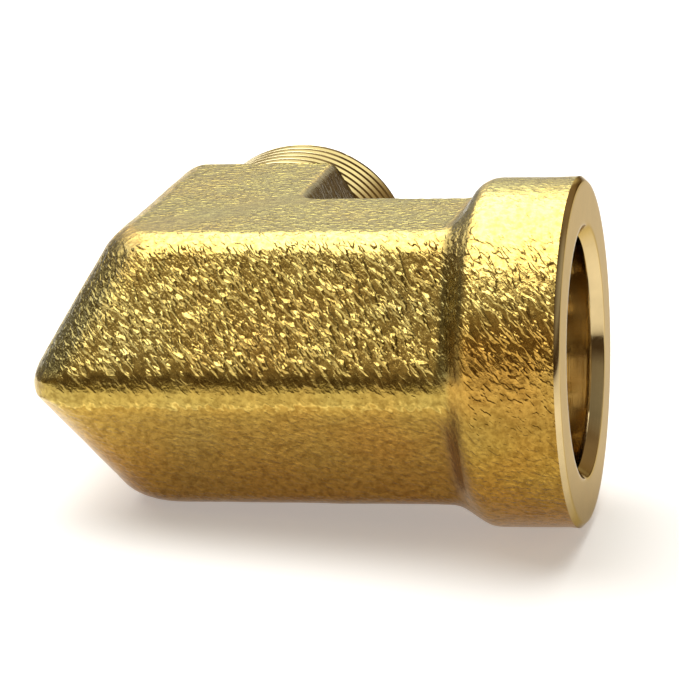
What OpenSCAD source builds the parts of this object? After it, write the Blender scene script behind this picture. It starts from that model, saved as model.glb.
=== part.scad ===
// Right-angle oil burner nozzle: a forged brass elbow body with a male inlet
// stub, an anti-drip check valve and strainer in the inlet, and a screw-in
// atomiser cartridge in the collar.
// Row frame, in millimetres: the origin is the centre of the collar's mouth
// face, +X sprays out of the mouth, +Y leaves the inlet stub, +Z is up from
// the elbow's parting plane.
// Screw threads are drawn as plain cylinders at their major diameter.

/* [Forged body] */
// Distance across the spanner flats of both hexagonal legs
hex_af = 16.6; // [16.2:0.1:17.0]
// Distance from the mouth face to the axis of the inlet stub
reach = 22.6; // [22.2:0.1:24.0]
// Distance from the spray axis to the end of the inlet leg
inlet_leg = 14.5; // [14.2:0.1:15.0]
// Rounding of the forged edges between flats
forge_r = 1.2; // [1.0:0.1:2.0]
// Height of the land where the flash was trimmed off the parting line
land_w = 1.45; // [1.0:0.05:1.8]
// Radius of the land's two edges
part_r = 0.4; // [0.2:0.1:0.5]
// Edge radius of the flats on the inside of the bend
inner_r = 0.6; // [0.4:0.1:1.5]
// Rounding of the outer corner of the elbow
nose_r = 3.2; // [2.0:0.2:4.0]

/* [Collar] */
// Outside diameter of the round collar
collar_d = 20.6; // [20.2:0.1:21.2]
// Length of the collar's straight cylindrical part
collar_len = 4.85; // [4.4:0.05:5.2]
// Chamfer of the machined rim of the mouth face
rim = 0.3; // [0.2:0.05:0.4]
// Diameter of the unthreaded mouth of the cartridge bore
mouth_d = 13.9; // [13.7:0.1:14.1]
// Depth of the unthreaded mouth
mouth_depth = 3.2; // [3.0:0.1:3.4]

/* [Inlet stub] */
// Major diameter of the male inlet thread
inlet_d = 14.2; // [14.0:0.1:14.4]
// Length of the male inlet thread
inlet_len = 12; // [11.6:0.1:12.6]
// Diameter of the check valve bore
valve_d = 9.0; // [8.8:0.1:9.2]
// Diameter of the strainer's counterbore
strainer_d = 10.7; // [10.5:0.1:10.8]

/* [Cartridge] */
// Major diameter of the cartridge's screw thread
cart_d = 13.2; // [13.0:0.1:13.4]
// Radial running clearance of the cartridge's thread
cart_gap = 0.08; // [0.05:0.01:0.1]
// Outside diameter of the copper washer, which passes the female thread's crests
seal_d = 11.7; // [11.3:0.1:11.8]
// Depth of the cartridge's front face inside the mouth
cart_face = 3.7; // [3.6:0.1:3.9]
// Diameter of the spray orifice
orifice_d = 0.5; // [0.4:0.05:0.8]
// Number of tangential slots in the swirl disc
slot_count = 4; // [3:1:6]

/* [Check valve] */
// Diameter of the check ball
ball_d = 5.2; // [5.0:0.1:5.3]
// Wire diameter of the check spring
wire_d = 0.45; // [0.4:0.05:0.5]
// Number of turns of the check spring, both flat end turns included
spring_turns = 5.5; // [5:0.5:6]

/* [Hidden] */
$fn = 72;
eps = 0.02;
h = hex_af/2;
v = h/cos(30);
w = v/2;
ci = collar_d/2;
xc = -reach;
stub_tip = inlet_leg + inlet_len;
// cartridge stations along X, all negative
c0 = -cart_face;
c_seal = -13.2;
c_back = -12.5;
c_neck = -15.2;
cr = cart_d/2;
pass_r = 4.6;
// inlet stations along Y
y_step = 5.4;
y_plate = 6.7;
y_cup = 11.0;
y_seat = 14.6;
y_seat_top = 17.2;
y_ledge = 23.6;
vr = valve_d/2;
br = ball_d/2;
y_ball = 14.08 + (2.6 - br)*1.2;
brass_forged = [0.72, 0.58, 0.27];
brass_turned = [0.85, 0.70, 0.33];
steel = [0.72, 0.73, 0.74];
bronze = [0.66, 0.47, 0.27];
copper = [0.80, 0.47, 0.32];
rubber = [0.10, 0.10, 0.11];

// the children's Z axis laid along +X, or along +Y
module along_x() rotate([0, 90, 0]) children();
module along_y() rotate([-90, 0, 0]) children();

// a straight cylinder from station a to station b of the X or the Y axis
module rod_x(r, a, b) translate([a, 0, 0]) along_x() cylinder(r = r, h = b - a);
module rod_y(r, a, b) translate([0, a, 0]) along_y() cylinder(r = r, h = b - a);
module cone_x(ra, rb, a, b) translate([a, 0, 0]) along_x() cylinder(r1 = ra, r2 = rb, h = b - a);
module cone_y(ra, rb, a, b) translate([0, a, 0]) along_y() cylinder(r1 = ra, r2 = rb, h = b - a);
// the same on the inlet stub's axis
module at_inlet() translate([xc, 0, 0]) children();

function arc(cx, cy, r, a, b, n) = [for (i = [0:n]) [cx + r*cos(a + (b - a)*i/n), cy + r*sin(a + (b - a)*i/n)]];

// hexagon with flats at top and bottom; polygon X points to the inside of the bend
function corner_r(k) = (k == 1 || k == 5) ? inner_r : forge_r;
function corner(k) = let (r = corner_r(k), c = (h - r)/cos(30))
    arc(c*cos(60*k), c*sin(60*k), r, 60*k - 30, 60*k + 30, 5);

// the hexagon's side corners are cut off by the land; side is 1 or -1
land_x = v - land_w/2/tan(60) - part_r;
land_z = (h - part_r - land_x*cos(30))/sin(30);
function land(side) = concat(
    arc(side*land_x, -side*land_z, part_r, 90 - 90*side - 30, 90 - 90*side, 3),
    arc(side*land_x, side*land_z, part_r, 90 - 90*side, 90 - 90*side + 30, 3));

function hex_points() = concat(land(1), corner(1), corner(2), land(-1), corner(4), corner(5));

// half space on the +Y side (1) or the -Y side (-1) of the mitre plane
module mitre_half(side) translate([xc, 0, 0]) rotate([0, 0, 45])
    translate([-60, side > 0 ? 0 : -120, -60]) cube([120, 120, 120]);

module leg_x() intersection() {
    translate([xc - v - 2, 0, 0]) rotate([90, 0, 90]) linear_extrude(height = reach + v - 3) polygon(hex_points());
    mitre_half(-1);
}

module leg_y() intersection() {
    at_inlet() translate([0, inlet_leg, 0]) rotate([90, 0, 0]) linear_extrude(height = inlet_leg + v + 2) polygon(hex_points());
    mitre_half(1);
}

// a slab that removes everything beyond a plane at distance d along unit vector n
module beyond(n, d) {
    az = atan2(n[1], n[0]);
    el = asin(n[2]);
    translate([d*n[0], d*n[1], d*n[2]]) rotate([0, 0, az]) rotate([0, -el, 0])
        translate([0, -30, -30]) cube([30, 60, 60]);
}

// rounds the outer mitre ridge, above (s = 1) and below (s = -1) the parting
// plane, with flats that are all tangent to one cylinder
module nose_cut(s) {
    na = [0, -cos(30), s*sin(30)];
    nb = [-cos(30), 0, s*sin(30)];
    // the axis of the rounding passes through q, at equal depth under both faces
    nm = (na + nb)/norm(na + nb);
    q = [-v, -v, 0] - nm*nose_r/(nm*na);
    for (i = [1:2:7]) {
        t = i/8;
        n0 = na*(1 - t) + nb*t;
        n = n0/norm(n0);
        translate([xc, 0, 0]) beyond(n, n*q + nose_r);
    }
}

// the web that fills the inner mitre corner, thinner towards the flats
module web() {
    top = h - 0.45;
    function s(z) = v - abs(z)*tan(30);
    function tri(z, q) = [[xc + s(z) - 2, s(z) - 2, z], [xc + s(z) + q + 0.3, s(z) - 0.3, z], [xc + s(z) - 0.3, s(z) + q + 0.3, z]];
    for (z = [top, -top]) polyhedron(
        points = concat(tri(0, 1.3), tri(z, 0.45)),
        faces = z > 0 ? [[0, 1, 2], [5, 4, 3], [0, 3, 4, 1], [1, 4, 5, 2], [2, 5, 3, 0]]
                      : [[2, 1, 0], [3, 4, 5], [1, 4, 3, 0], [2, 5, 4, 1], [0, 3, 5, 2]]);
}

// round collar with a rolled shoulder that runs out on the hexagonal leg
module collar_blank() {
    root = h - 0.25;
    rv = 1.6;
    ra = rv*cos(80) + ci - rv;
    rc = (ra - root)/(1 - cos(80));
    xa = -collar_len - rv*sin(80);
    along_x() rotate_extrude() polygon(concat(
        [[0, 0], [ci - rim, 0], [ci, -rim]],
        arc(ci - rv, -collar_len, rv, 0, -80, 8),
        [for (i = [1:5]) let (a = 80 - 16*i) [root + rc*(1 - cos(a)), xa - rc*(sin(80) - sin(a))]],
        [[0, xa - rc*sin(80)]]));
}

// male inlet thread, drawn plain, with its end chamfer
module stub_blank() at_inlet() translate([0, inlet_leg - 1, 0]) along_y() rotate_extrude()
    polygon([[0, 0], [inlet_d/2, 0], [inlet_d/2, inlet_len + 0.3], [inlet_d/2 - 0.7, inlet_len + 1], [0, inlet_len + 1]]);

module body_bores() {
    // mouth, cartridge thread, fuel passage with its drill point
    cone_x(mouth_d/2, mouth_d/2 + 0.5, -0.7, eps/4);
    rod_x(mouth_d/2 + 0.5, 0, 1);
    rod_x(mouth_d/2, -mouth_depth, -0.7);
    cone_x(cr, mouth_d/2, -mouth_depth - 0.35, -mouth_depth);
    rod_x(cr, c_seal, -mouth_depth - 0.35);
    rod_x(pass_r, -25.4, c_seal);
    cone_x(0.4, pass_r, -27.6, -25.4);
    // inlet: strainer counterbore, clip groove, valve bore, port into the passage
    at_inlet() {
        rod_y(3.9, 0, y_step);
        rod_y(vr, y_step, y_ledge);
        rod_y(strainer_d/2, y_ledge, stub_tip - 0.4);
        cone_y(strainer_d/2, strainer_d/2 + 0.4, stub_tip - 0.4, stub_tip);
        rod_y(strainer_d/2 + 0.4, stub_tip, stub_tip + 1);
        rod_y(strainer_d/2 + 0.4, 24.9, 25.6);
    }
}

module elbow_body() color(brass_forged) difference() {
    union() {
        difference() {
            union() {
                leg_x();
                leg_y();
                web();
            }
            nose_cut(1);
            nose_cut(-1);
        }
        collar_blank();
        stub_blank();
    }
    body_bores();
}

// ---- cartridge -------------------------------------------------------------

// threaded brass cup; its front wall holds the orifice disc
module carrier() color(brass_turned) difference() {
    union() {
        cone_x(cr - cart_gap, cr - cart_gap - 0.45, c0 - 0.45, c0);
        rod_x(cr - cart_gap, c_back + 0.3, c0 - 0.45);
        cone_x(cr - cart_gap - 0.3, cr - cart_gap, c_back, c_back + 0.3);
        rod_x(4.2, c_neck, c_back);
    }
    rod_x(3.5, c_neck - 1, -6.4);
    cone_x(3.8, 3.5, c_neck - 0.01, c_neck + 0.3);
    rod_x(1.9, -7, -5.3);
    cone_x(1.9, 3.3, -5.3, c0 + 0.01);
    // two pin-spanner holes
    for (s = [-1, 1]) translate([0, 0, s*4.7]) {
        rod_x(0.7, c0 - 1.8, c0 + 1);
        cone_x(0.7, 0.95, c0 - 0.25, c0 + 0.001);
    }
}

// stainless spray tip with a conical swirl chamber behind its orifice
module orifice_disc() color(steel) difference() {
    union() {
        rod_x(3.4, -7.6, -6.42);
        rod_x(1.82, -6.5, -5.5);
        cone_x(1.82, 1.3, -5.5, -5.1);
    }
    cone_x(2.2, 0.55, -7.7, -6.3);
    rod_x(orifice_d/2, -7, -5);
    cone_x(orifice_d/2, 0.9, -5.45, -5.09);
}

// distributor: its cone sits in the swirl chamber and carries tangential slots
module swirl_disc() color(steel) difference() {
    union() {
        rod_x(3.3, -10.2, -7.62);
        cone_x(1.98, 0.62, -7.62, -6.46);
    }
    // ring groove that feeds the slots
    difference() {
        rod_x(4, -9.1, -8.3);
        rod_x(2.5, -9.2, -8.2);
    }
    for (i = [0:slot_count - 1]) rotate([360/slot_count*i, 0, 0])
        translate([-8.4, 0.55, -0.2]) cube([3, 2.6, 0.4]);
    // feed flats
    for (i = [0:slot_count - 1]) rotate([360/slot_count*(i + 0.5), 0, 0])
        translate([-10.3, -1, 2.85]) cube([3, 2, 1]);
}

// hollow screw that presses the distributor home; fuel leaves by cross holes
module lock_screw() color(brass_turned) difference() {
    union() {
        rod_x(3.42, -13.4, -11.2);
        rod_x(2.5, -11.2, -10.22);
    }
    rod_x(1.1, -14, -10.9);
    for (a = [0, 90]) rotate([a, 0, 0]) translate([-11.1, 0, -4]) cylinder(r = 0.5, h = 8);
    translate([-14, -4, -0.4]) cube([1.2, 8, 0.8]);
}

// bush that screws into the cartridge's neck and holds the sinter
module filter_bush() color(brass_turned) difference() {
    union() {
        rod_x(3.42, -15.22, -13.7);
        difference() {
            rod_x(4.2, -16.6, -15.22);
            for (s = [-1, 1]) translate([-17, s > 0 ? 3.6 : -5.6, -5]) cube([1.6, 2, 10]);
        }
    }
    rod_x(1.5, -18, -13);
    rod_x(3.0, -18, -15.9);
}

// porous bronze thimble
module filter_sinter() color(bronze) difference() {
    union() {
        rod_x(3.02, -19.2, -15.9);
        translate([-19.2, 0, 0]) along_x() rotate([180, 0, 0]) rotate_extrude()
            polygon(concat([[0, 0]], [for (i = [0:10]) [3.02*cos(9*i), 1.5*sin(9*i)]]));
    }
    rod_x(1.7, -19.3, -15);
}

// annealed copper washer captive on the cartridge's neck
module face_seal() color(copper) difference() {
    rod_x(seal_d/2, c_seal + eps, c_back - eps);
    rod_x(4.6, c_seal - 1, c_back + 1);
}

// ---- inlet check valve -----------------------------------------------------

// pressed seat insert
module valve_seat() color(brass_turned) at_inlet() difference() {
    union() {
        rod_y(vr + 0.01, y_seat, y_seat_top - 0.3);
        cone_y(vr + 0.01, vr - 0.3, y_seat_top - 0.3, y_seat_top);
    }
    rod_y(1.6, y_seat - 1, y_seat_top + 1);
    cone_y(1.6, 2.2, y_seat_top - 0.6, y_seat_top + 0.01);
    rod_y(3.3, y_seat - 1, y_seat + 1.5);
}

// elastomer ring in the seat's pocket; the ball closes on its cone
module seat_ring() color(rubber) at_inlet() difference() {
    rod_y(3.31, y_seat + 0.1, y_seat + 1.49);
    cone_y(3.25, 1.65, y_seat - 0.05, y_seat + 1.55);
}

module check_ball() color(steel) translate([xc, y_ball, 0]) sphere(r = br);

// carrier of the ball; its stem slides in the perforated plate
module ball_cup() color(brass_turned) at_inlet() difference() {
    union() {
        rod_y(3.3, y_cup + 0.5, y_cup + 2.2);
        cone_y(2.7, 3.3, y_cup, y_cup + 0.5);
        rod_y(1.6, y_cup - 0.8, y_cup);
        rod_y(0.95, 5.1, y_cup);
        cone_y(0.6, 0.95, 4.8, 5.1);
    }
    translate([0, y_ball, 0]) sphere(r = br + 0.02);
    // relief around the ball
    cone_y(br - 0.2, br + 0.25, y_cup + 1.6, y_cup + 2.21);
}

// helical sweep of a round wire with flat ground-like end turns, along +Y
module coil(y0, y1, mean_r, wire_r, turns) {
    steps = ceil(turns*20);
    sides = 8;
    rise = y1 - y0 - 2*wire_r;
    // no rise over the first and last turn but a wire's own thickness
    function lift(t) = let (n = t*turns)
        n < 1 ? 2*wire_r*n*1.02
        : n > turns - 1 ? rise - 2*wire_r*(turns - n)*1.02
        : 2*wire_r*1.02 + (rise - 4.08*wire_r)*(n - 1)/(turns - 2);
    function ring(i) = let (t = i/steps, a = 360*turns*t)
        [for (k = [0:sides - 1]) let (b = 360/sides*k, rr = mean_r + wire_r*cos(b))
            [rr*cos(a), y0 + wire_r + lift(t) + wire_r*sin(b), rr*sin(a)]];
    polyhedron(
        points = [for (i = [0:steps]) each ring(i)],
        faces = concat(
            [[for (k = [0:sides - 1]) k]],
            [for (i = [0:steps - 1]) for (k = [0:sides - 1]) let (a = i*sides + k, b = i*sides + (k + 1) % sides)
                each [[a, a + sides, b], [b, a + sides, b + sides]]],
            [[for (k = [0:sides - 1]) steps*sides + sides - 1 - k]]),
        convexity = 10);
}

module check_spring() color(steel) at_inlet()
    coil(y_plate + eps, y_cup - eps, 2.25, wire_d/2, spring_turns);

// perforated plate that carries the spring and guides the stem
module spring_plate() color(brass_turned) at_inlet() difference() {
    union() {
        rod_y(vr - 0.01, y_step + 0.005, y_plate);
        rod_y(1.65, y_plate, y_plate + 0.6);
    }
    rod_y(1.02, y_step - 1, y_plate + 2);
    for (i = [0:5]) rotate([0, 60*i, 0]) translate([3.25, 0, 0]) rod_y(0.55, y_step - 1, y_plate + 1);
}

// ---- inlet strainer --------------------------------------------------------

// flanged brass ring on the ledge of the counterbore
module strainer_flange() color(brass_turned) at_inlet() difference() {
    union() {
        rod_y(strainer_d/2 - 0.05, y_ledge + 0.005, y_ledge + 1.2);
        rod_y(3.9, y_ledge - 1, y_ledge + 0.1);
    }
    rod_y(3.36, y_ledge - 2, y_ledge + 2);
    cone_y(3.36, 4.1, y_ledge + 0.7, y_ledge + 1.21);
}

// rolled gauze sleeve soldered into the flange
module strainer_gauze() color(bronze) at_inlet() difference() {
    rod_y(3.38, 18.6, y_ledge + 0.6);
    rod_y(3.14, 18, y_ledge + 1);
}

// pressed cup that closes the sleeve's inner end
module strainer_cap() color(brass_turned) at_inlet() difference() {
    union() {
        rod_y(3.66, 18.3, 19.3);
        cone_y(3.2, 3.66, 17.9, 18.3);
    }
    rod_y(3.36, 18.58, 20);
}

// internal circlip with its two plier ears
module strainer_clip() color(steel) at_inlet() difference() {
    union() {
        difference() {
            rod_y(strainer_d/2 + 0.35, 24.95, 25.5);
            rod_y(strainer_d/2 - 0.75, 24, 26);
        }
        for (s = [-1, 1]) rotate([0, s*16, 0]) translate([strainer_d/2 - 1.0, 0, 0]) rod_y(0.8, 24.95, 25.5);
    }
    for (s = [-1, 1]) rotate([0, s*16, 0]) translate([strainer_d/2 - 1.0, 0, 0]) rod_y(0.36, 24, 26);
    rotate([0, 0, 0]) translate([2, 24, -0.62]) cube([5, 2, 1.24]);
}

elbow_body();
carrier();
orifice_disc();
swirl_disc();
lock_screw();
filter_bush();
filter_sinter();
face_seal();
valve_seat();
seat_ring();
check_ball();
ball_cup();
check_spring();
spring_plate();
strainer_flange();
strainer_gauze();
strainer_cap();
strainer_clip();
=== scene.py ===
import math

import bmesh
import bpy
import numpy as np
from mathutils import Matrix, Vector


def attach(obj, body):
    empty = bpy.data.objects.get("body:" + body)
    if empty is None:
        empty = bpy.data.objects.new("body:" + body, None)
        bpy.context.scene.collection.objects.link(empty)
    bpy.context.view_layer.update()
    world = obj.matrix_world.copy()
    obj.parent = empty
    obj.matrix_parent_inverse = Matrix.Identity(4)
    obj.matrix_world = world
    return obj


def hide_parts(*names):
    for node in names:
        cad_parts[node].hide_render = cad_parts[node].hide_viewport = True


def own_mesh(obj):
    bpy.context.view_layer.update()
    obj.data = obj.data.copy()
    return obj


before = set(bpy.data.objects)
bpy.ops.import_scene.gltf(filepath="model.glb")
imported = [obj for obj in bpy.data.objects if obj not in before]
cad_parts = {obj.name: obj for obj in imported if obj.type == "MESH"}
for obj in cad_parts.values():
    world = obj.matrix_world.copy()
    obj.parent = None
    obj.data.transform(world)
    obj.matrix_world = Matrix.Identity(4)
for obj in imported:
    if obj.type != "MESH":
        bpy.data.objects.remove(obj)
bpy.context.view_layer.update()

# ---------------------------------------------------------------- dimensions
# millimetres, in the frame's axes: +X out of the mouth, +Y out of the stub
MM = 0.001
TAU = 2 * math.pi
HEX = 8.3                      # half the distance across flats
C30, S30 = math.cos(math.radians(30)), math.sin(math.radians(30))
CORNER = HEX / C30
LAND = CORNER - 0.42           # trimmed flash land along the parting line
ELBOW_X = -22.6                # where the stub's axis crosses the spray axis
LEG_END = 14.5                 # end face of the inlet leg
STUB_TIP = 26.5
COLLAR_R, COLLAR_LEN, RIM = 10.3, 4.85, 0.3
SHOULDER_R = 1.6               # rolled rear edge of the collar
ROOT_R = 1.2                   # fillet where the collar meets the leg
FORGE_R = 1.15                 # edges of the flats on the outside of the bend
CRISP_R = 0.4                  # the same edges on its inside
LAND_R, NOSE_R, INNER_R = 0.4, 3.0, 1.2
WALL_R = 7.1                   # hollow inside the skin, taken up by turned pieces
MOUTH_R, MOUTH_DEPTH, MOUTH_CHAMFER = 6.95, 3.2, 0.5
STUB_R = 7.1
PITCH = 1.058                  # 24 threads per inch
THREAD_DEPTH = 0.62
CREST, ROOT = 0.14, 0.22       # flats of the cartridge thread, as shares of the pitch
STUB_THREAD_DEPTH = 0.36
STUB_CREST, STUB_ROOT = 0.60, 0.08  # the stub's crests are broad and its roots narrow
BORE_R = 6.6                   # root of the female thread
CARRIER_R = 6.52
CARRIER_FACE, CARRIER_BACK, CARRIER_NECK = -3.7, -12.5, -15.2
SEAL_FACE, PASSAGE_END = -13.2, -25.4
PORT_R = 3.9                   # from the valve into the passage
FLOOR_GAP = 0.06               # keeps the floor just clear of the part


# -------------------------------------------------------------------- meshes
def mesh_object(name, verts_mm, faces, body):
    """A closed mesh from vertices in millimetres, riding on a CAD body."""
    me = bpy.data.meshes.new(name)
    verts = np.asarray(verts_mm, float) * MM
    faces = np.asarray(faces, np.int32)
    k = faces.shape[1]
    me.vertices.add(len(verts))
    me.vertices.foreach_set("co", verts.ravel())
    me.loops.add(faces.size)
    me.loops.foreach_set("vertex_index", faces.ravel())
    me.polygons.add(len(faces))
    me.polygons.foreach_set("loop_start", np.arange(0, faces.size, k, dtype=np.int32))
    me.update(calc_edges=True)
    bm = bmesh.new()
    bm.from_mesh(me)
    bmesh.ops.remove_doubles(bm, verts=bm.verts, dist=1e-8)
    bmesh.ops.recalc_face_normals(bm, faces=bm.faces)
    bm.to_mesh(me)
    bm.free()
    me.polygons.foreach_set("use_smooth", np.ones(len(me.polygons), bool))
    ob = bpy.data.objects.new(name, me)
    bpy.context.scene.collection.objects.link(ob)
    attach(ob, body)
    return ob


def ring_faces(rows, cols, wrap=False):
    """Quads between successive closed rings of vertices; wrap joins last to first."""
    j, i = np.meshgrid(np.arange(rows if wrap else rows - 1), np.arange(cols), indexing="ij")
    k = (i + 1) % cols
    a, b = j * cols, ((j + 1) % rows) * cols
    return np.stack([a + i, a + k, b + k, b + i], -1).reshape(-1, 4)


def sharpen(ob, degrees):
    ob.data.set_sharp_from_angle(angle=math.radians(degrees))


# --------------------------------------------------------------------- noise
def noise3(p, seed):
    """Gradient noise in about -1..1 at points p, one cell per unit."""
    rng = np.random.RandomState(seed)
    perm = rng.permutation(256)
    grad = rng.normal(size=(256, 3))
    grad /= np.linalg.norm(grad, axis=1)[:, None]
    cell = np.floor(p).astype(int)
    f = p - cell
    t = f * f * f * (f * (f * 6 - 15) + 10)
    total = np.zeros(len(p))
    for corner in np.ndindex(2, 2, 2):
        c = cell + corner
        idx = perm[(perm[(perm[c[:, 0] & 255] + c[:, 1]) & 255] + c[:, 2]) & 255]
        dot = ((f - corner) * grad[idx]).sum(1)
        weight = np.where(np.array(corner) == 1, t, 1 - t).prod(1)
        total += weight * dot
    return total * 1.6


# ------------------------------------------------- the forged blank's distance
def smax(a, b, r):
    """Intersection of two distances, its edge rounded to r."""
    return np.minimum(np.maximum(a, b), -r) + np.hypot(np.maximum(a + r, 0), np.maximum(b + r, 0))


def smin(a, b, r):
    return -smax(-a, -b, r)


def smoothstep(lo, hi, v):
    t = np.clip((v - lo) / (hi - lo), 0, 1)
    return t * t * (3 - 2 * t)


def slopes(side, z):
    """Two slanted faces of the hexagon and the trimmed land between them."""
    both = smax(C30 * side + S30 * z - HEX, C30 * side - S30 * z - HEX, 0.1)
    return smax(both, side - LAND, LAND_R)


def forging(p):
    """Signed distance to the forged blank: mitred hexagonal legs and the collar."""
    x, y, z = p[:, 0] - ELBOW_X, p[:, 1], p[:, 2]
    outer = smax(slopes(-y, z), slopes(-x, z), NOSE_R)
    inner = smin(slopes(y, z), slopes(x, z), INNER_R)
    edge_r = FORGE_R + (CRISP_R - FORGE_R) * smoothstep(-1.5, 2.5, np.minimum(x, y))
    legs = smax(np.maximum(outer, inner), np.abs(z) - HEX, edge_r)
    collar = smax(np.hypot(y, z) - COLLAR_R, -(COLLAR_LEN + SHOULDER_R) - p[:, 0], SHOULDER_R)
    return smin(legs, collar, ROOT_R)


def gradient(p, step=1e-3):
    return np.stack([forging(p + d) - forging(p - d) for d in np.eye(3) * step], 1) / (2 * step)


def onto_surface(p, steps=14):
    """Newton steps along the gradient of the forging's distance."""
    for _ in range(steps):
        g = gradient(p)
        g /= np.maximum((g * g).sum(1), 0.05)[:, None]
        p = p - np.clip(forging(p), -0.6, 0.6)[:, None] * g
    return p


# ------------------------------------------------------------ the forged skin
COLS = 360
ROWS_COLLAR, ROWS_SHOULDER, ROWS_X, ROWS_Y = 26, 26, 116, 86


def hex_ring(n):
    """n points round a sharp hexagon, evenly spaced along its sides: (side, up)."""
    a = np.radians(np.arange(7) * 60)
    corners = CORNER * np.stack([np.cos(a), np.sin(a)], 1)
    t = (np.arange(n // 6) / (n // 6))[None, :, None]
    return (corners[:6, None] * (1 - t) + corners[1:, None] * t).reshape(-1, 2)


def collar_profile(n):
    """Points (x, r) down the collar's rolled shoulder, evenly spaced."""
    a = np.radians(np.linspace(0, 84, 30))
    arc_x = -COLLAR_LEN - SHOULDER_R * np.sin(a)
    arc_r = COLLAR_R - SHOULDER_R * (1 - np.cos(a))
    x = np.concatenate([arc_x, [arc_x[-1] - 0.25, arc_x[-1] - 1.0]])
    r = np.concatenate([arc_r, [HEX - 0.1, HEX - 0.4]])
    s = np.concatenate([[0], np.cumsum(np.hypot(np.diff(x), np.diff(r)))])
    t = np.linspace(0, s[-1], n)
    return np.interp(t, s, x), np.interp(t, s, r)


def skin_rings():
    """Rings of the forged skin from the collar's rim to the inlet leg's end."""
    side, up = hex_ring(COLS).T
    radius = np.hypot(side, up)
    cos, sin = side / radius, up / radius
    rows = []
    for x in np.linspace(-RIM, -COLLAR_LEN, ROWS_COLLAR, endpoint=False):
        rows.append(np.stack([np.full(COLS, x), COLLAR_R * cos, COLLAR_R * sin], 1))
    for x, r in zip(*collar_profile(ROWS_SHOULDER)):
        rr = np.maximum(r, radius)
        rows.append(np.stack([np.full(COLS, x), rr * cos, rr * sin], 1))
    start = x
    for t in np.linspace(0, 1, ROWS_X + 1)[1:]:
        rows.append(np.stack([start + (ELBOW_X + side - start) * t, side, up], 1))
    for t in np.linspace(0, 1, ROWS_Y + 1)[1:]:
        rows.append(np.stack([ELBOW_X + side, side + (LEG_END - side) * t, up], 1))
    return np.array(rows)


def hollow_rings():
    """Rings of the skin's hidden inner wall, from the inlet leg back to the rim."""
    side, up = hex_ring(COLS).T
    angle = np.arctan2(up, side)
    cos, sin = np.cos(angle), np.sin(angle)

    def round_x(x, r):
        return np.stack([np.full(COLS, x), r * cos, r * sin], 1)

    leg = np.stack([ELBOW_X + WALL_R * cos, np.full(COLS, LEG_END - 0.6), WALL_R * sin], 1)
    mitre = np.stack([ELBOW_X + WALL_R * cos, WALL_R * cos, WALL_R * sin], 1)
    return [leg, mitre, round_x(-7.5, WALL_R), round_x(-4.5, 8.0), round_x(-0.9, 9.6)]


# shot struck the blank along this direction, so its pits are drawn out along it
PIT_AXIS = np.array([0.63, -0.39, -0.67])
PIT_AXIS /= np.linalg.norm(PIT_AXIS)


def pit_space():
    """Rows that map a point to pit coordinates: across, across, along."""
    b = np.cross(PIT_AXIS, [0.0, 0.6, -0.8])
    b /= np.linalg.norm(b)
    return np.array([b, np.cross(PIT_AXIS, b), PIT_AXIS])


def blasted(p, n, fade):
    """Moves the skin's points along their normals: die waviness and shot pits."""
    q = p @ pit_space().T
    wave = 0.045 * noise3(p / 5.5, 3) + 0.022 * noise3(p / 2.3, 4)
    pits = noise3(q / (0.36, 0.36, 1.2), 5) + 0.6 * noise3(q / (0.27, 0.27, 0.8), 6)
    fine = noise3(p / 0.45, 7)
    coarse_half = 0.45 + 0.55 * smoothstep(-1.0, 0.8, p[:, 2])
    move = wave + (0.015 * pits + 0.008 * fine) * coarse_half - 0.03
    return p + n * (move * fade)[:, None]


def build_skin():
    rings = skin_rings()
    rows = len(rings)
    flat = rings.reshape(-1, 3)
    row = np.repeat(np.arange(rows), COLS)
    p = onto_surface(flat)
    p[row == 0, 0] = flat[row == 0, 0]
    p[row == rows - 1, 1] = flat[row == rows - 1, 1]
    n = gradient(p)
    n /= np.linalg.norm(n, axis=1)[:, None]
    fade = np.clip(np.minimum(row / 3.0, (rows - 1 - row) / 4.0), 0, 1)
    p = blasted(p, n, fade).reshape(rows, COLS, 3)
    # the faced end of the inlet leg, with its outer edge broken
    centre = np.array([ELBOW_X, LEG_END, 0.0])
    out = p[-1] - centre
    out[:, 1] = 0
    reach = np.linalg.norm(out, axis=1)[:, None]
    inward = WALL_R - 0.15 - reach
    face = [centre + out / reach * (reach + inward * t) for t in (0.06, 0.1, 0.5, 0.96, 1.0)]
    p[-1, :, 1] -= 0.13
    rings = [*p, *face, *hollow_rings()]
    quads = ring_faces(len(rings), COLS, wrap=True)
    ob = mesh_object("elbow_skin", np.concatenate(rings), quads, "elbow")
    sharpen(ob, 60)
    # the faced end shows cut metal
    cut = np.zeros(len(ob.data.polygons), np.int32)
    centres = np.zeros(len(cut) * 3)
    ob.data.polygons.foreach_get("center", centres)
    normals = np.zeros(len(cut) * 3)
    ob.data.polygons.foreach_get("normal", normals)
    at_end = centres.reshape(-1, 3)[:, 1] > (LEG_END - 0.1) * MM
    cut[at_end & (normals.reshape(-1, 3)[:, 1] > 0.6)] = 1
    ob.data.polygons.foreach_set("material_index", cut)
    return ob


# ------------------------------------------------------------- turned pieces
def thread_wave(phase, crest=CREST, root=ROOT):
    """0 on the body's crest, 1 in its root, with flats these shares of the pitch wide."""
    s = np.abs(np.mod(phase, 1.0) - 0.5) * 2
    return np.clip((s - crest) / (1 - crest - root), 0, 1)


def around(station, radius, angle, axis):
    """Points on a surface turned about the spray axis ("x") or the stub's ("y")."""
    if axis == "x":
        return np.stack([station, radius * np.cos(angle), radius * np.sin(angle)], -1)
    return np.stack([ELBOW_X + radius * np.sin(angle), station, radius * np.cos(angle)], -1)


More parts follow.
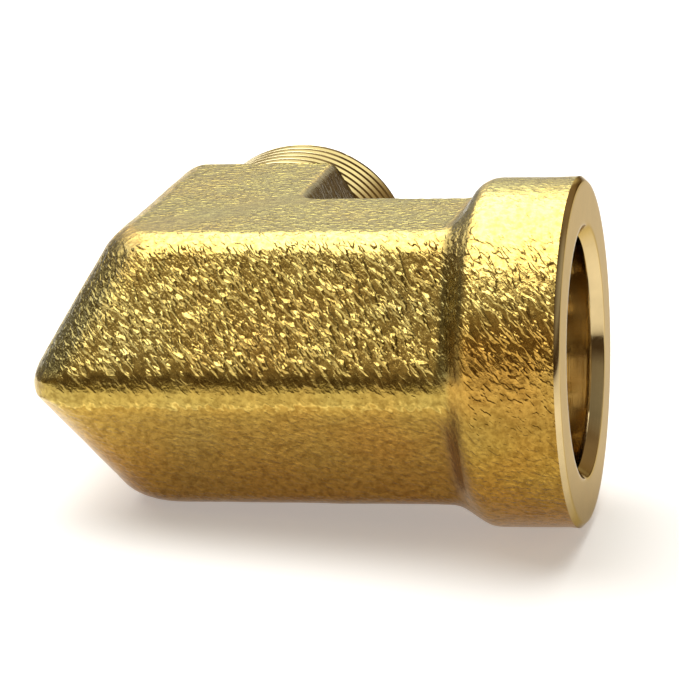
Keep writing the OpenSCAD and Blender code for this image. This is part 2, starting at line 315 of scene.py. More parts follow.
def helix_stations(lo, hi, angle, crest, root):
    """Rows of stations that follow the thread's edges round the piece."""
    e = 0.012  # rows this share of the pitch either side of an edge keep it crisp
    flank = (crest + 1 - root) / 4
    half = [crest / 2 - e, crest / 2 + e, flank, (1 - root) / 2 - e, (1 - root) / 2 + e]
    offsets = [-0.5, *[-v for v in reversed(half)], 0.0, *half]
    turns = np.arange(math.floor(lo / PITCH) - 2, math.ceil(hi / PITCH) + 1)
    phase = (turns[:, None] + 0.5 + np.array(offsets)).ravel()
    return np.clip(PITCH * (phase[:, None] + angle / TAU), lo, hi), len(offsets)


def turned(name, body, profile, cols, axis, thread=None):
    """A piece turned about one of the two axes, from a profile of (station, radius).

    thread is (first, last, radius of (station, angle), crest, root): it follows
    the profile's None, and its crest and root are shares of the pitch.
    """
    angle = np.arange(cols) / cols * TAU
    verts, faces = [], []

    def add(stations, radii, quads):
        angles = np.broadcast_to(angle, stations.shape)
        faces.append(quads + sum(map(len, verts)))
        verts.append(around(stations, radii, angles, axis).reshape(-1, 3))

    def rings(points, edge_at=None, edge_first=False):
        """Rings through the points, with one more on the thread where it starts or ends."""
        station = np.array([p[0] for p in points], float)[:, None] + np.zeros(cols)
        radius = np.array([p[1] for p in points], float)[:, None] + np.zeros(cols)
        if edge_at is not None:
            edge = np.full((1, cols), edge_at)
            row = 0 if edge_first else len(points)
            station = np.insert(station, row, edge, 0)
            radius = np.insert(radius, row, radius_at(edge, angle[None, :]), 0)
        add(station, radius, ring_faces(len(station), cols))

    if not thread:
        rings(profile)
        return mesh_object(name, np.concatenate(verts), np.concatenate(faces), body)
    first, last, radius_at, crest, root = thread
    split = profile.index(None)
    rings(profile[:split], first)
    rings(profile[split + 1:], last, edge_first=True)
    station, step = helix_stations(*sorted((first, last)), angle[None, :], crest, root)
    quads = ring_faces(len(station), cols)
    # the last column meets the first one a turn further along
    j = np.arange(len(station) - 1 - step)
    end = (cols - 1) + j * cols
    seam = np.stack([end, (j + step) * cols, (j + step + 1) * cols, end + cols], -1)
    inner = quads[(np.arange(len(quads)) % cols) != cols - 1]
    radii = radius_at(station, np.broadcast_to(angle, station.shape))
    add(station, radii, np.concatenate([inner, seam]))
    return mesh_object(name, np.concatenate(verts), np.concatenate(faces), body)


def span(a, b, n, ra, rb):
    """n stations from a to b with the radius running from ra to rb."""
    return [(a + (b - a) * t, ra + (rb - ra) * t) for t in np.linspace(0, 1, n)]


def cut_away(ob, cutter):
    """Takes the cutter's volume out of ob and removes the cutter."""
    mod = ob.modifiers.new("cut", "BOOLEAN")
    mod.operation, mod.object, mod.solver = "DIFFERENCE", cutter, "EXACT"
    graph = bpy.context.evaluated_depsgraph_get()
    result = bpy.data.meshes.new_from_object(ob.evaluated_get(graph))
    ob.modifiers.clear()
    ob.data = result
    bpy.data.objects.remove(cutter)


def build_socket():
    """The machined collar face, the mouth and the cartridge's female thread."""
    thread_from, thread_to = -MOUTH_DEPTH - 0.35, SEAL_FACE + 0.6

    def ridge(st, an):
        w = 1 - thread_wave(st / PITCH - an / TAU)
        ends = np.clip((thread_from - st) / 0.5, 0, 1) * np.clip((st - thread_to) / 0.5, 0, 1)
        return BORE_R - THREAD_DEPTH * w * ends

    chamfer_r = MOUTH_R + MOUTH_CHAMFER
    prof = [(-26.8, 0.0), (-26.6, 0.9)]
    prof += span(-26.5, PASSAGE_END, 4, 1.2, 4.6)
    prof += span(PASSAGE_END + 0.05, SEAL_FACE - 0.02, 10, 4.6, 4.6)
    prof += [(SEAL_FACE, 4.65), (SEAL_FACE, 5.6), (SEAL_FACE, BORE_R - 0.02)]
    prof += [None]
    prof += [(-MOUTH_DEPTH - 0.33, BORE_R + 0.02), (-MOUTH_DEPTH, MOUTH_R - 0.01)]
    prof += span(-MOUTH_DEPTH + 0.04, -0.76, 10, MOUTH_R, MOUTH_R)
    prof += [(-0.7, MOUTH_R + 0.01), (-0.66, MOUTH_R + 0.05)]
    prof += [(-0.06, chamfer_r - 0.04), (-0.015, chamfer_r + 0.01)]
    prof += span(0.0, 0.0, 12, chamfer_r + 0.05, COLLAR_R - RIM - 0.03)
    prof += [(-0.015, COLLAR_R - RIM + 0.01), (-RIM + 0.03, COLLAR_R - 0.02)]
    prof += [(-RIM - 0.02, COLLAR_R), (-RIM - 0.05, COLLAR_R - 0.03), (-RIM - 0.06, COLLAR_R - 0.5)]
    # hidden outside, within the skin's hollow
    prof += [(-0.9, 9.5), (-4.5, 7.9), (-7.5, WALL_R - 0.05), (-24.0, WALL_R - 0.05)]
    prof += [(-26.8, 6.5), (-26.8, 0.0)]
    thread = (SEAL_FACE + 0.05, thread_from, ridge, CREST, ROOT)
    ob = turned("elbow_socket", "elbow", prof, 200, "x", thread)
    # the port lets the check valve's stem through the socket's side
    port = [(0.0, 0.0), (0.0, PORT_R), (8.0, PORT_R), (8.0, 0.0)]
    cut_away(ob, turned("port", "elbow", port, 64, "y"))
    sharpen(ob, 28)
    return ob


def build_stub():
    """The male inlet thread and the bore of the stub."""
    def groove(st, an):
        w = thread_wave(st / PITCH - an / TAU, STUB_CREST, STUB_ROOT)
        runout = np.clip((st - LEG_END + 0.15) / 0.3, 0, 1)
        chamfer = STUB_R - 0.78 + (STUB_TIP - st) * 0.95
        return np.minimum(STUB_R - STUB_THREAD_DEPTH * w * runout, chamfer)

    prof = [(5.4, PORT_R), (5.4, 4.4)] + span(5.45, 23.55, 20, 4.5, 4.5)
    prof += [(23.6, 4.55), (23.6, 5.3)] + span(23.65, 24.88, 4, 5.35, 5.35)
    prof += [(24.9, 5.37), (24.9, 5.73), (24.93, 5.75), (25.57, 5.75), (25.6, 5.73), (25.6, 5.37)]
    prof += [(25.63, 5.35), (26.08, 5.35), (26.12, 5.37), (26.48, 5.72), (STUB_TIP, 5.76)]
    prof += span(STUB_TIP, STUB_TIP, 3, 5.8, STUB_R - 0.82) + [(STUB_TIP - 0.01, STUB_R - 0.79)]
    prof += [None]
    prof += [(LEG_END - 0.3, STUB_R - 0.1), (LEG_END - 0.7, STUB_R - 0.3), (5.4, 6.3), (5.4, PORT_R)]
    thread = (STUB_TIP - 0.02, LEG_END - 0.2, groove, STUB_CREST, STUB_ROOT)
    ob = turned("elbow_stub", "elbow", prof, 220, "y", thread)
    sharpen(ob, 32)
    return ob


def build_carrier():
    """The cartridge's cup: male thread, spray cone and two pin-spanner holes."""
    front, back = CARRIER_FACE, CARRIER_BACK

    def crest(st, an):
        w = 1 - thread_wave(st / PITCH - an / TAU)
        lead_in = CARRIER_R - 0.45 + (front - st)
        lead_out = CARRIER_R - 0.3 + (st - back)
        return np.minimum(CARRIER_R - THREAD_DEPTH * w, np.minimum(lead_in, lead_out))

    prof = [(-6.4, 0.0), (-6.4, 1.0), (-6.4, 1.88), (-6.38, 1.9), (-5.34, 1.9), (-5.3, 1.93)]
    prof += [(front - 0.03, 3.27), (front, 3.32)]
    prof += span(front, front, 8, 3.4, CARRIER_R - 0.55)
    prof += [None]
    prof += [(back, CARRIER_R - THREAD_DEPTH - 0.02), (back, 4.24), (back - 0.04, 4.2)]
    prof += [(CARRIER_NECK + 0.2, 4.2), (CARRIER_NECK, 4.0), (CARRIER_NECK, 3.8), (CARRIER_NECK + 0.3, 3.5)]
    prof += [(-12.0, 3.5), (-6.42, 3.5), (-6.4, 3.48), (-6.4, 0.0)]
    thread = (front - 0.01, back + 0.01, crest, CREST, ROOT)
    ob = turned("carrier_cup", "cartridge", prof, 200, "x", thread)
    drill = [(front - 1.8, 0), (front - 1.6, 0.7), (front - 0.25, 0.7), (front, 0.95)]
    drill += [(front + 0.5, 1.4), (front + 0.5, 0)]
    for z in (-4.7, 4.7):
        hole = turned("hole", "cartridge", drill, 40, "x")
        hole.data.transform(Matrix.Translation((0, 0, z * MM)))
        cut_away(ob, hole)
    sharpen(ob, 30)
    return ob


def tubes(name, body, paths, radius, sides, closed=False):
    """Round wires along paths of points in millimetres, as one object."""
    verts, faces, first = [], [], 0
    turn = np.arange(sides) / sides * TAU
    for path in paths:
        path = np.asarray(path, float)
        if closed:
            tangent = np.roll(path, -1, 0) - np.roll(path, 1, 0)
        else:
            tangent = np.gradient(path, axis=0)
        tangent /= np.linalg.norm(tangent, axis=1)[:, None]
        # each ring's frame takes one direction from the wire's way out of the stub's axis
        radial = (path - (ELBOW_X, 0, 0)) * (1, 0, 1)
        a = np.cross(tangent, radial)
        a /= np.linalg.norm(a, axis=1)[:, None]
        b = np.cross(tangent, a)
        cos, sin = np.cos(turn)[None, :, None], np.sin(turn)[None, :, None]
        rings = path[:, None] + radius * (cos * a[:, None] + sin * b[:, None])
        quads = ring_faces(len(path), sides, wrap=closed)
        if not closed:
            start, end = (np.repeat(tip[:, None], sides, 1) for tip in (path[:1], path[-1:]))
            rings = np.concatenate([start, rings, end])
            quads = ring_faces(len(rings), sides)
        verts.append(rings.reshape(-1, 3))
        faces.append(quads + first)
        first += len(verts[-1])
    return mesh_object(name, np.concatenate(verts), np.concatenate(faces), body)


def build_spring():
    """The check valve's spring: a round wire with a closed turn at each end."""
    base, top, mean_r, wire_r, turns = 6.705, 10.995, 2.25, 0.225, 5.5
    n = np.linspace(0, turns, int(turns * 56))
    rise = top - base - 2 * wire_r
    closed = 2 * wire_r * 1.02
    y = np.interp(n, [0, 1, turns - 1, turns], [0, closed, rise - closed, rise]) + base + wire_r
    path = np.stack([ELBOW_X + mean_r * np.cos(n * TAU), y, mean_r * np.sin(n * TAU)], 1)
    ob = tubes("spring_coil", "elbow", [path], wire_r, 14)
    # the ball lifts 1.2 mm
    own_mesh(ob)
    return ob


def build_gauze():
    """The strainer's sleeve, woven from round wires."""
    mean_r, wire_r, swing = 3.26, 0.052, 0.056
    bottom, top, uprights, hoops = 18.66, 23.3, 40, 10
    gap = (top - bottom) / hoops
    paths = []
    y = np.linspace(bottom, top, hoops * 8 + 1)
    for i in range(uprights):
        a = i / uprights * TAU
        r = mean_r + swing * np.cos((y - bottom) / gap * math.pi + math.pi * i)
        paths.append(np.stack([ELBOW_X + r * math.cos(a), y, r * math.sin(a)], 1))
    sleeve = tubes("gauze_uprights", "elbow", paths, wire_r, 6)
    rings = []
    a = np.arange(uprights * 8) / (uprights * 8) * TAU
    for j in range(hoops + 1):
        r = mean_r - swing * np.cos(a * uprights / 2 + math.pi * j)
        level = np.full(len(a), bottom + gap * j)
        rings.append(np.stack([ELBOW_X + r * np.cos(a), level, r * np.sin(a)], 1))
    weft = tubes("gauze_hoops", "elbow", rings, wire_r, 6, closed=True)
    return sleeve, weft


def build_sinter():
    """The cartridge's thimble of sintered bronze grains."""
    prof = [(-15.95, 1.7), (-15.9, 1.75), (-15.9, 2.97), (-15.95, 3.02)] + span(-16.0, -19.2, 48, 3.02, 3.02)
    prof += [(-19.2 - 1.5 * math.sin(t), 3.02 * math.cos(t)) for t in np.linspace(0.03, math.pi / 2, 26)]
    prof += [(-19.3, 0.0), (-19.3, 1.68), (-19.25, 1.7), (-15.95, 1.7)]
    ob = turned("sinter_thimble", "cartridge", prof, 150, "x")
    me = ob.data
    co = np.zeros(len(me.vertices) * 3)
    me.vertices.foreach_get("co", co)
    p = co.reshape(-1, 3) / MM
    r = np.hypot(p[:, 1], p[:, 2])
    outside = smoothstep(1.9, 2.4, r + np.maximum(-19.4 - p[:, 0], 0) * 2)
    out = p * (0, 1, 1)
    out[:, 0] = np.minimum(p[:, 0] + 19.2, 0)
    out /= np.maximum(np.linalg.norm(out, axis=1), 0.01)[:, None]
    grains = np.abs(noise3(p / 0.22, 21)) + 0.5 * np.abs(noise3(p / 0.13, 22))
    p -= out * (outside * (0.03 + 0.06 * grains))[:, None] * (p[:, 0] < -16.7)[:, None]
    me.vertices.foreach_set("co", (p * MM).ravel())
    me.update()
    return ob


skin = build_skin()
socket = build_socket()
stub = build_stub()
carrier = build_carrier()
spring = build_spring()
gauze = build_gauze()
sinter = build_sinter()
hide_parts("elbow_body")
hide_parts("carrier")
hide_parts("check_spring")
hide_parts("strainer_gauze")
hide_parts("filter_sinter")


# ----------------------------------------------------------------- materials
class Nodes:
    """A short way to write a material's node tree."""

    def __init__(self, name):
        self.mat = bpy.data.materials.new(name)
        self.mat.use_nodes = True
        self.tree = self.mat.node_tree
        self.tree.nodes.clear()
        self.out = self.add("ShaderNodeOutputMaterial")
        self.bsdf = self.add("ShaderNodeBsdfPrincipled")
        self.link(self.bsdf, "BSDF", self.out, "Surface")
        self.coord = self.add("ShaderNodeTexCoord")
        self.plain = None  # object coordinates in millimetres, once a material needs them

    def add(self, kind, **values):
        n = self.tree.nodes.new(kind)
        for k, v in values.items():
            if hasattr(n, k):
                setattr(n, k, v)
            else:
                n.inputs[k].default_value = v
        return n

    def link(self, a, out, b, into):
        self.tree.links.new(a.outputs[out], b.inputs[into])

    def mapping(self, scale, rotation=(0, 0, 0), source=None):
        """Object coordinates in millimetres, or source, turned and then scaled."""
        turn = self.add("ShaderNodeMapping")
        turn.inputs["Rotation"].default_value = rotation
        if source is None:
            turn.inputs["Scale"].default_value = [1 / MM] * 3
            self.link(self.coord, "Object", turn, "Vector")
        else:
            self.link(source, "Vector", turn, "Vector")
        n = self.add("ShaderNodeMapping")
        n.inputs["Scale"].default_value = scale
        self.link(turn, "Vector", n, "Vector")
        return n

    def noise(self, vector, scale=1.0, detail=3.0, rough=0.5, distortion=0.0):
        n = self.add("ShaderNodeTexNoise")
        for k, v in zip(("Scale", "Detail", "Roughness", "Distortion"), (scale, detail, rough, distortion)):
            n.inputs[k].default_value = v
        self.link(vector, "Vector", n, "Vector")
        return n

    def ramp(self, src, out, stops):
        n = self.add("ShaderNodeValToRGB")
        el = n.color_ramp.elements
        while len(el) < len(stops):
            el.new(0.5)
        for e, (pos, col) in zip(el, stops):
            e.position = pos
            e.color = (*col, 1)
        self.link(src, out, n, "Fac")
        return n

    def remap(self, src, out, lo, hi, to_lo, to_hi):
        n = self.add("ShaderNodeMapRange")
        for k, v in zip(("From Min", "From Max", "To Min", "To Max"), (lo, hi, to_lo, to_hi)):
            n.inputs[k].default_value = v
        self.link(src, out, n, "Value")
        return n

    def math(self, op, a, aout, b=None, bout=None, value=0.0):
        n = self.add("ShaderNodeMath")
        n.operation = op
        self.link(a, aout, n, 0)
        if b is None:
            n.inputs[1].default_value = value
        else:
            self.link(b, bout, n, 1)
        return n

    def multiply(self, a, aout, b, bout):
        """Two colours multiplied."""
        n = self.add("ShaderNodeMix", data_type="RGBA", blend_type="MULTIPLY")
        n.inputs[0].default_value = 1.0
        self.tree.links.new(a.outputs[aout], n.inputs[6])
        self.tree.links.new(b.outputs[bout], n.inputs[7])
        return n

    def bump(self, height, out, distance_mm, below=None):
        n = self.add("ShaderNodeBump")
        n.inputs["Distance"].default_value = distance_mm * MM
        self.link(height, out, n, "Height")
        if below is not None:
            self.link(below, "Normal", n, "Normal")
        return n

    def metal(self):
        self.bsdf.inputs["Metallic"].default_value = 1.0


GROOVE_X = -6.4                # the groove between the collar and its leg
WHITE = (1, 1, 1)


def forged_colour(m, xyz, facing, streak, grain, mottle, from_groove, from_mitre, inner):
    """Base colour, with painted shade and painted highlight that follow the light by height and face."""
    patch = m.noise(m.plain, 0.16, 3.0, 0.55)
    tone = m.ramp(patch, "Fac", [(0.30, (0.80, 0.56, 0.16)), (0.52, (0.80, 0.62, 0.19)),
                                 (0.72, (0.76, 0.62, 0.22))])
    speck = m.ramp(grain, "Fac", [(0.35, (0.86, 0.84, 0.80)), (0.6, WHITE)])
    cloudy = m.ramp(mottle, "Fac", [(0.34, (0.62, 0.58, 0.50)), (0.60, WHITE)])

    # height above the parting plane in millimetres, made ragged by the blast marks
    drift = m.math("SUBTRACT", m.noise(m.plain, 0.9, 2.0, 0.5), "Fac", value=0.5)
    ragged = m.math("SUBTRACT", streak, "Fac", value=0.5)
    height = m.math("ADD", xyz, "Z", m.math("MULTIPLY", drift, "Value", value=0.35), "Value")
    height = m.math("ADD", height, "Value", m.math("MULTIPLY", ragged, "Value", value=1.3), "Value")

    # the leg within 2.5 mm of the parting plane, painted by height: painted shade on the lower half,
    # a painted highlight line, painted shade on the land, a painted dark line, then the upper half
    below, land = (0.68, 0.57, 0.39), (0.63, 0.58, 0.44)
    root, painted_highlight_line = (0.50, 0.46, 0.40), (1.0, 0.95, 0.80)
    across = m.remap(height, "Value", -2.5, 2.5, 0.0, 1.0)
    on_leg = m.ramp(across, "Result", [(0.0, below), (0.304, below), (0.34, painted_highlight_line), (0.376, land),
                                       (0.575, land), (0.62, root), (0.66, root), (0.72, WHITE)])
    # the collar and the lower faces, painted shade by height over the whole height
    level = m.remap(height, "Value", -10.0, 10.0, 0.0, 1.0)
    on_collar = m.ramp(level, "Result", [(0.15, (0.90, 0.78, 0.42)), (0.42, (0.50, 0.41, 0.27)),
                                         (0.52, (0.68, 0.54, 0.37)), (0.66, (0.86, 0.70, 0.50)),
                                         (0.76, WHITE)])
    # painted shade: darker and redder towards the bottom
    bottom_shade = m.ramp(level, "Result", [(0.12, (0.76, 0.62, 0.58)), (0.42, WHITE)])
    band = m.add("ShaderNodeMix", data_type="RGBA")
    m.link(m.remap(xyz, "X", GROOVE_X + 0.1, GROOVE_X - 0.3, 0.0, 1.0), "Result", band, 0)
    m.link(on_collar, "Color", band, 6)
    m.link(on_leg, "Color", band, 7)

    # painted shade: faces that look straight up are painted darker and greener
    top = m.remap(facing, "Z", 0.955, 0.985, 0.0, 1.0)
    top_shade = m.ramp(top, "Result", [(0.0, WHITE), (1.0, (0.62, 0.68, 0.60))])

    # painted shade: the groove and the mitre's edge on the upper side faces, and every face
    # that looks the way the mouth does, are painted dark
    in_groove = m.remap(from_groove, "Value", 0.65, 1.05, 1.0, 0.0)
    on_edge = m.remap(from_mitre, "Value", 1.5, 3.0, 1.0, 0.0)
    dark = m.math("MAXIMUM", in_groove, "Result", on_edge, "Result")
    upper = m.math("MULTIPLY", m.remap(xyz, "Z", 0.5, 1.2, 0.0, 1.0), "Result",
                   m.remap(facing, "Z", 0.80, 0.95, 1.0, 0.0), "Result")
    dark = m.math("MAXIMUM", m.math("MULTIPLY", dark, 0, upper, 0), "Value", inner, "Result")
    painted_shade = m.ramp(dark, "Value", [(0.0, WHITE), (1.0, (0.36, 0.38, 0.42))])

    colour = m.multiply(m.multiply(tone, "Color", speck, "Color"), 2, band, 2)
    for other in (bottom_shade, top_shade, painted_shade, cloudy):
        colour = m.multiply(colour, 2, other, "Color")
    m.link(colour, 2, m.bsdf, "Base Color")


def pit_depth(m, xyz, facing, from_groove, from_mitre, inner):
    """How deep the blast marks are, from 0 to 1, as a node whose output 0 holds it."""
    depth = m.remap(m.math("ABSOLUTE", facing, "Z"), "Value", 0.62, 0.86, 1.0, 0.2)
    below_parting = m.math("MAXIMUM", m.remap(xyz, "Z", 1.0, 1.7, 0.1, 1.0), "Result",
                           m.remap(xyz, "X", GROOVE_X + 0.1, GROOVE_X + 0.5, 0.0, 0.3), "Result")
    in_groove = m.remap(from_groove, "Value", 0.6, 1.3, 0.22, 1.0)
    on_collar = m.remap(xyz, "X", GROOVE_X + 0.1, GROOVE_X + 0.5, 1.0, 0.5)
    at_mitre = m.remap(from_mitre, "Value", 1.2, 2.6, 0.2, 1.0)
    to_mouth = m.remap(inner, "Result", 0.0, 1.0, 1.0, 0.15)
    for other in (below_parting, in_groove, on_collar, at_mitre, to_mouth):
        depth = m.math("MULTIPLY", depth, 0, other, 0)
    return depth


def forged_brass():
    """Shot-blasted forging: streaks along the shot's path over a fine grain."""
    m = Nodes("forged_brass")
    m.metal()
    along = Matrix(pit_space().tolist()).to_euler()
    streak = m.noise(m.mapping((3.5, 3.5, 1.1), along), 1.0, 1.2, 0.4, 0.25)
    short = m.noise(m.mapping((8.0, 8.0, 2.4), along), 1.0, 1.0, 0.5, 0.2)
    m.plain = m.mapping((1, 1, 1))
    grain = m.noise(m.plain, 6.0, 3.0, 0.6)
    mottle = m.noise(m.plain, 2.6, 3.0, 0.6)
    xyz = m.add("ShaderNodeSeparateXYZ")
    m.link(m.plain, "Vector", xyz, "Vector")
    facing = m.add("ShaderNodeSeparateXYZ")
    m.link(m.coord, "Normal", facing, "Vector")
    from_groove = m.math("ABSOLUTE", m.math("SUBTRACT", xyz, "X", value=GROOVE_X), "Value")
    mitre = m.math("SUBTRACT", m.math("SUBTRACT", xyz, "X", value=ELBOW_X), "Value", xyz, "Y")
    from_mitre = m.math("ABSOLUTE", mitre, "Value")
    inner = m.remap(facing, "X", 0.25, 0.5, 0.0, 1.0)
    forged_colour(m, xyz, facing, streak, grain, mottle, from_groove, from_mitre, inner)
    rough = m.remap(grain, "Fac", 0.3, 0.7, 0.20, 0.28)
    m.link(rough, "Result", m.bsdf, "Roughness")

    # plateaus with steep walls between them, then finer marks on top
    depth = pit_depth(m, xyz, facing, from_groove, from_mitre, inner)
    relief = m.remap(streak, "Fac", 0.46, 0.68, 0.0, 1.0)
    relief.interpolation_type = "SMOOTHSTEP"
    normal = m.bump(m.math("MULTIPLY", relief, "Result", depth, 0), "Value", 0.20)
    normal = m.bump(m.math("MULTIPLY", short, "Fac", depth, 0), "Value", 0.05, below=normal)
    normal = m.bump(mottle, "Fac", 0.03, below=normal)
    normal = m.bump(grain, "Fac", 0.018, below=normal)
    m.link(normal, "Normal", m.bsdf, "Normal")
    return m.mat


def turned_metal(name, colour, rough, axis, mark_mm=0.003, edge=None):
    """Metal cut on a lathe: fine rings about the spray axis ("x") or the stub's ("y")."""
    m = Nodes(name)
    m.metal()
    plain = m.mapping((1, 1, 1))
    xyz = m.add("ShaderNodeSeparateXYZ")
    m.link(plain, "Vector", xyz, "Vector")
    if axis == "x":
        station, side, out = "X", xyz, "Y"
    else:
        station, side, out = "Y", m.math("SUBTRACT", xyz, "X", value=ELBOW_X), "Value"
    s2 = m.math("POWER", m.math("ABSOLUTE", side, out), "Value", value=2.0)
    z2 = m.math("POWER", m.math("ABSOLUTE", xyz, "Z"), "Value", value=2.0)
    radius = m.math("SQRT", m.math("ADD", s2, "Value", z2, "Value"), "Value")
    rings = m.add("ShaderNodeCombineXYZ")
    m.link(xyz, station, rings, "X")
    m.link(radius, "Value", rings, "Y")
    marks = m.noise(rings, 9.0, 2.0, 0.6)
    cloud = m.noise(plain, 0.5, 3.0, 0.6)
    tone = m.ramp(cloud, "Fac", [(0.3, tuple(c * 0.86 for c in colour)), (0.7, colour)])
    m.link(tone, "Color", m.bsdf, "Base Color")
    scratch = m.noise(plain, 5.0, 3.0, 0.6)
    r = m.remap(scratch, "Fac", 0.3, 0.7, *rough)
    m.link(r, "Result", m.bsdf, "Roughness")
    m.link(m.bump(marks, "Fac", mark_mm), "Normal", m.bsdf, "Normal")
    if edge:
        m.bsdf.inputs["Specular Tint"].default_value = (*edge, 1)
    return m.mat


def grained(name, dark, light, metallic, rough, scale, depth_mm):
    """A matte finish made of grains: sintered bronze, rubber, annealed copper."""
    m = Nodes(name)
    m.bsdf.inputs["Metallic"].default_value = metallic
    plain = m.mapping((1, 1, 1))
    cells = m.add("ShaderNodeTexVoronoi")
    cells.inputs["Scale"].default_value = scale
    m.link(plain, "Vector", cells, "Vector")
    cloud = m.noise(plain, 1.1, 4.0, 0.6)
    tone = m.ramp(cloud, "Fac", [(0.3, dark), (0.7, light)])
    m.link(tone, "Color", m.bsdf, "Base Color")
    r = m.remap(cloud, "Fac", 0.3, 0.7, *rough)
    m.link(r, "Result", m.bsdf, "Roughness")
    inverted = m.math("SUBTRACT", cells, "Distance", value=1.0)
    up = m.math("MULTIPLY", inverted, "Value", value=-1.0)
    m.link(m.bump(up, "Value", depth_mm), "Normal", m.bsdf, "Normal")
    return m.mat


BRASS = (0.87, 0.69, 0.36)
STEEL = (0.60, 0.59, 0.57)
brass_skin = forged_brass()
brass_x = turned_metal("turned_brass_x", BRASS, (0.06, 0.14), "x")
brass_y = turned_metal("turned_brass_y", BRASS, (0.10, 0.2), "y")
# painted shade: the socket's brass is a darker copy of the turned brass
shaded_brass_face = turned_metal("machined_brass_painted_shade", (0.62, 0.48, 0.25), (0.06, 0.14), "x",
                          edge=(0.50, 0.42, 0.28))
# painted highlight: the stub's thread is a paler copy of the turned brass, with a paler edge tint
lit_brass_thread = turned_metal("thread_brass_painted_highlight", (0.96, 0.84, 0.50), (0.08, 0.16), "y",
                            edge=(1.0, 0.92, 0.60))
steel_x = turned_metal("stainless_x", STEEL, (0.12, 0.25), "x")
steel_y = turned_metal("stainless_y", STEEL, (0.12, 0.25), "y")
gauze_bronze = turned_metal("gauze_bronze", (0.74, 0.50, 0.25), (0.2, 0.35), "y", 0.001)
sinter_bronze = grained("sinter_bronze", (0.42, 0.25, 0.11), (0.62, 0.40, 0.19), metallic=1.0,
                        rough=(0.45, 0.6), scale=6.0, depth_mm=0.03)
copper = grained("annealed_copper", (0.62, 0.28, 0.17), (0.86, 0.46, 0.31), metallic=1.0,
                 rough=(0.28, 0.42), scale=14.0, depth_mm=0.004)
rubber = grained("rubber", (0.012, 0.012, 0.013), (0.03, 0.03, 0.032), metallic=0.0,
                 rough=(0.5, 0.65), scale=9.0, depth_mm=0.004)


def paint(ob, *mats):
    """Gives the object these materials and no others."""
    ob.data.materials.clear()
    for mt in mats:
        ob.data.materials.append(mt)


# object, slot, and the materials that its faces' indices pick from
MADE = [(skin, "forged_brass", brass_skin, brass_y),
        (socket, "forged_brass", shaded_brass_face),
        (stub, "forged_brass", lit_brass_thread),
        (carrier, "turned_brass", brass_x),
        (spring, "stainless_steel", steel_y),
        (sinter, "sintered_bronze", sinter_bronze),
        (gauze[0], "bronze_gauze", gauze_bronze),
        (gauze[1], "bronze_gauze", gauze_bronze)]
for ob, slot, *mats in MADE:
    # clearing the materials resets the faces' indices, so they are put back
    index = np.zeros(len(ob.data.polygons), np.int32)
    ob.data.polygons.foreach_get("material_index", index)
    paint(ob, *mats)
    ob.data.polygons.foreach_set("material_index", index)

# the CAD's own meshes that stay, with their materials
KEPT = {"orifice_disc": steel_x, "swirl_disc": steel_x, "lock_screw": brass_x, "filter_bush": brass_x,
        "face_seal": copper, "valve_seat": brass_y, "seat_ring": rubber, "check_ball": steel_y,
        "ball_cup": brass_y, "spring_plate": brass_y, "strainer_flange": brass_y, "strainer_cap": brass_y,
        "strainer_clip": steel_y}
for name, mat in KEPT.items():
    paint(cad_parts[name], mat)

# ------------------------------------------------------ floor, light, camera
# the part lies nose down, on its collar and on the far end of its bottom flat
FLAT_END = 27.4  # how far that is from the mouth
TILT = math.atan2(COLLAR_R - HEX, FLAT_END - COLLAR_LEN)
touch = Vector((-COLLAR_LEN, 0, -COLLAR_R)) * MM
along_floor = Vector((math.cos(TILT), 0, -math.sin(TILT)))
floor_up = Vector((math.sin(TILT), 0, math.cos(TILT)))
floor_turn = Matrix((along_floor, Vector((0, 1, 0)), floor_up)).transposed().to_4x4()


def paper():
    """Plain pale paper, which glows a little so that it stays white in the part's shade."""
    m = Nodes("paper")
    cloud = m.noise(m.mapping((0.02, 0.02, 0.02)), 1.0, 2.0)
    tone = m.ramp(cloud, "Fac", [(0.3, (0.90, 0.895, 0.88)), (0.7, (0.93, 0.925, 0.91))])
    m.link(tone, "Color", m.bsdf, "Base Color")
    m.link(tone, "Color", m.bsdf, "Emission Color")
    m.bsdf.inputs["Emission Strength"].default_value = 0.36
    m.bsdf.inputs["Roughness"].default_value = 0.9
    return m.mat


def build_floor():
    half = 3.0  # metres
    me = bpy.data.meshes.new("floor")
    corners = [(-half, -half, 0), (half, -half, 0), (half, half, 0), (-half, half, 0)]
    me.from_pydata(corners, [], [(0, 1, 2, 3)])
    ob = bpy.data.objects.new("floor", me)
    bpy.context.scene.collection.objects.link(ob)
    ob.matrix_world = Matrix.Translation(touch - floor_up * FLOOR_GAP * MM) @ floor_turn
    paint(ob, paper())


BRIGHT_SIDE = (0.25, 0.93, 0.2)   # towards the room's bright wall, behind the part
# colour by how far a direction leans towards the bright side, 0 away from it to 1 at it
ROOM = [(0.0, (0.16, 0.125, 0.085)), (0.1, (0.18, 0.14, 0.095)), (0.22, (0.34, 0.265, 0.17)),
        (0.45, (0.24, 0.20, 0.15)), (0.75, (0.45, 0.44, 0.40)), (1.0, (1.15, 1.13, 1.06))]
# tint by height: a dark brown band at and below the horizon
HORIZON = [(0.05, (0.30, 0.23, 0.16)), (0.2, (1.0, 0.97, 0.90))]
# tint by how far a direction leans to the right: a dark brown side wall
RIGHT_WALL = [(0.17, WHITE), (0.26, (0.32, 0.25, 0.18)), (0.7, (0.32, 0.25, 0.18)), (0.95, WHITE)]


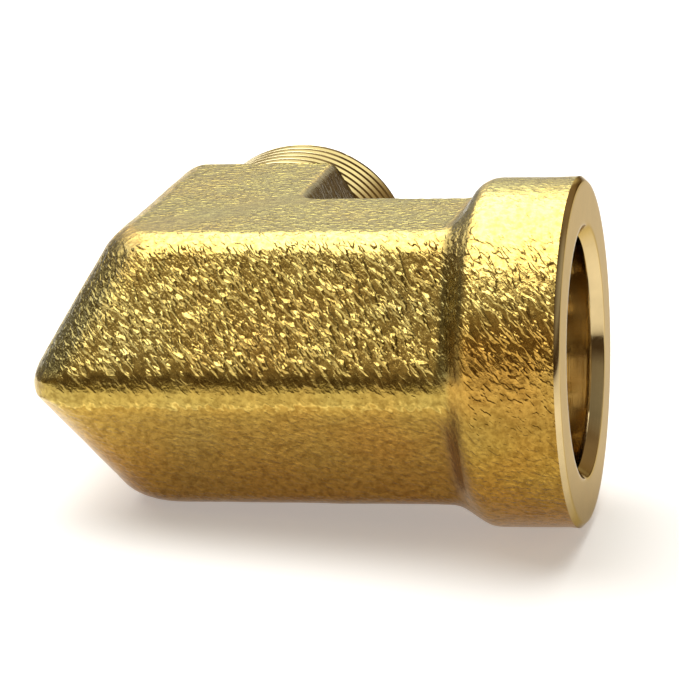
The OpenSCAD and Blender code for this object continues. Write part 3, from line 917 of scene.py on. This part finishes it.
def build_world():
    """A soft room: dim in front of the part and on its right, pale behind it."""
    world = bpy.data.worlds.new("studio")
    bpy.context.scene.world = world
    world.use_nodes = True
    nodes, links = world.node_tree.nodes, world.node_tree.links

    def ramp(output, stops):
        """The Color output of a ramp with these stops, driven by a node's output."""
        node = nodes.new("ShaderNodeValToRGB")
        elements = node.color_ramp.elements
        while len(elements) < len(stops):
            elements.new(0.5)
        for element, (position, colour) in zip(elements, stops):
            element.position, element.color = position, (*colour, 1)
        links.new(output, node.inputs["Fac"])
        return node.outputs["Color"]

    coord = nodes.new("ShaderNodeTexCoord")
    dot = nodes.new("ShaderNodeVectorMath")
    dot.operation = "DOT_PRODUCT"
    dot.inputs[1].default_value = Vector(BRIGHT_SIDE).normalized()
    links.new(coord.outputs["Generated"], dot.inputs[0])
    lean = nodes.new("ShaderNodeMapRange")
    lean.inputs["From Min"].default_value = -1.0
    links.new(dot.outputs["Value"], lean.inputs["Value"])
    axes = nodes.new("ShaderNodeSeparateXYZ")
    links.new(coord.outputs["Generated"], axes.inputs["Vector"])

    total = ramp(lean.outputs["Result"], ROOM)
    for tint in (ramp(axes.outputs["Z"], HORIZON), ramp(axes.outputs["X"], RIGHT_WALL)):
        both = nodes.new("ShaderNodeMix")
        both.data_type, both.blend_type = "RGBA", "MULTIPLY"
        both.inputs[0].default_value = 1.0
        links.new(total, both.inputs[6])
        links.new(tint, both.inputs[7])
        total = both.outputs[2]
    links.new(total, nodes["Background"].inputs["Color"])
    nodes["Background"].inputs["Strength"].default_value = 1.0


def softbox(name, direction, distance_mm, size_mm, power):
    """A square light of this power in watts, aimed at the part from a direction."""
    middle = Vector((-16, 4, 0))  # of the part, in millimetres
    lamp = bpy.data.lights.new(name, "AREA")
    lamp.shape = "SQUARE"
    lamp.size = size_mm * MM
    lamp.energy = power
    ob = bpy.data.objects.new(name, lamp)
    bpy.context.scene.collection.objects.link(ob)
    d = Vector(direction).normalized()
    ob.location = middle * MM + d * distance_mm * MM
    ob.rotation_mode = "QUATERNION"
    ob.rotation_quaternion = d.to_track_quat("Z", "Y")


def build_camera():
    """The photo's viewpoint, fitted to its outline."""
    azimuth, elevation, roll = math.radians(13.2), math.radians(15.1), math.radians(-3.4)
    aim, distance = Vector((-15.0, 1.0, 0.3)) * MM, 0.202
    level = math.cos(elevation)
    back = Vector((math.sin(azimuth) * level, -math.cos(azimuth) * level, math.sin(elevation)))
    cam = bpy.data.cameras.new("camera")
    cam.lens = 178
    cam.clip_start, cam.clip_end = 0.01, 20
    ob = bpy.data.objects.new("camera", cam)
    bpy.context.scene.collection.objects.link(ob)
    ob.rotation_mode = "QUATERNION"
    ob.location = aim + back * distance
    tilt = Matrix.Rotation(roll, 4, "Z").to_quaternion()
    ob.rotation_quaternion = (-back).to_track_quat("-Z", "Y") @ tilt
    bpy.context.scene.camera = ob


build_floor()
build_world()
softbox("overhead", (-0.23, 0.23, 0.94), distance_mm=260, size_mm=340, power=1.15)
build_camera()
bpy.context.scene.view_settings.view_transform = "Standard"
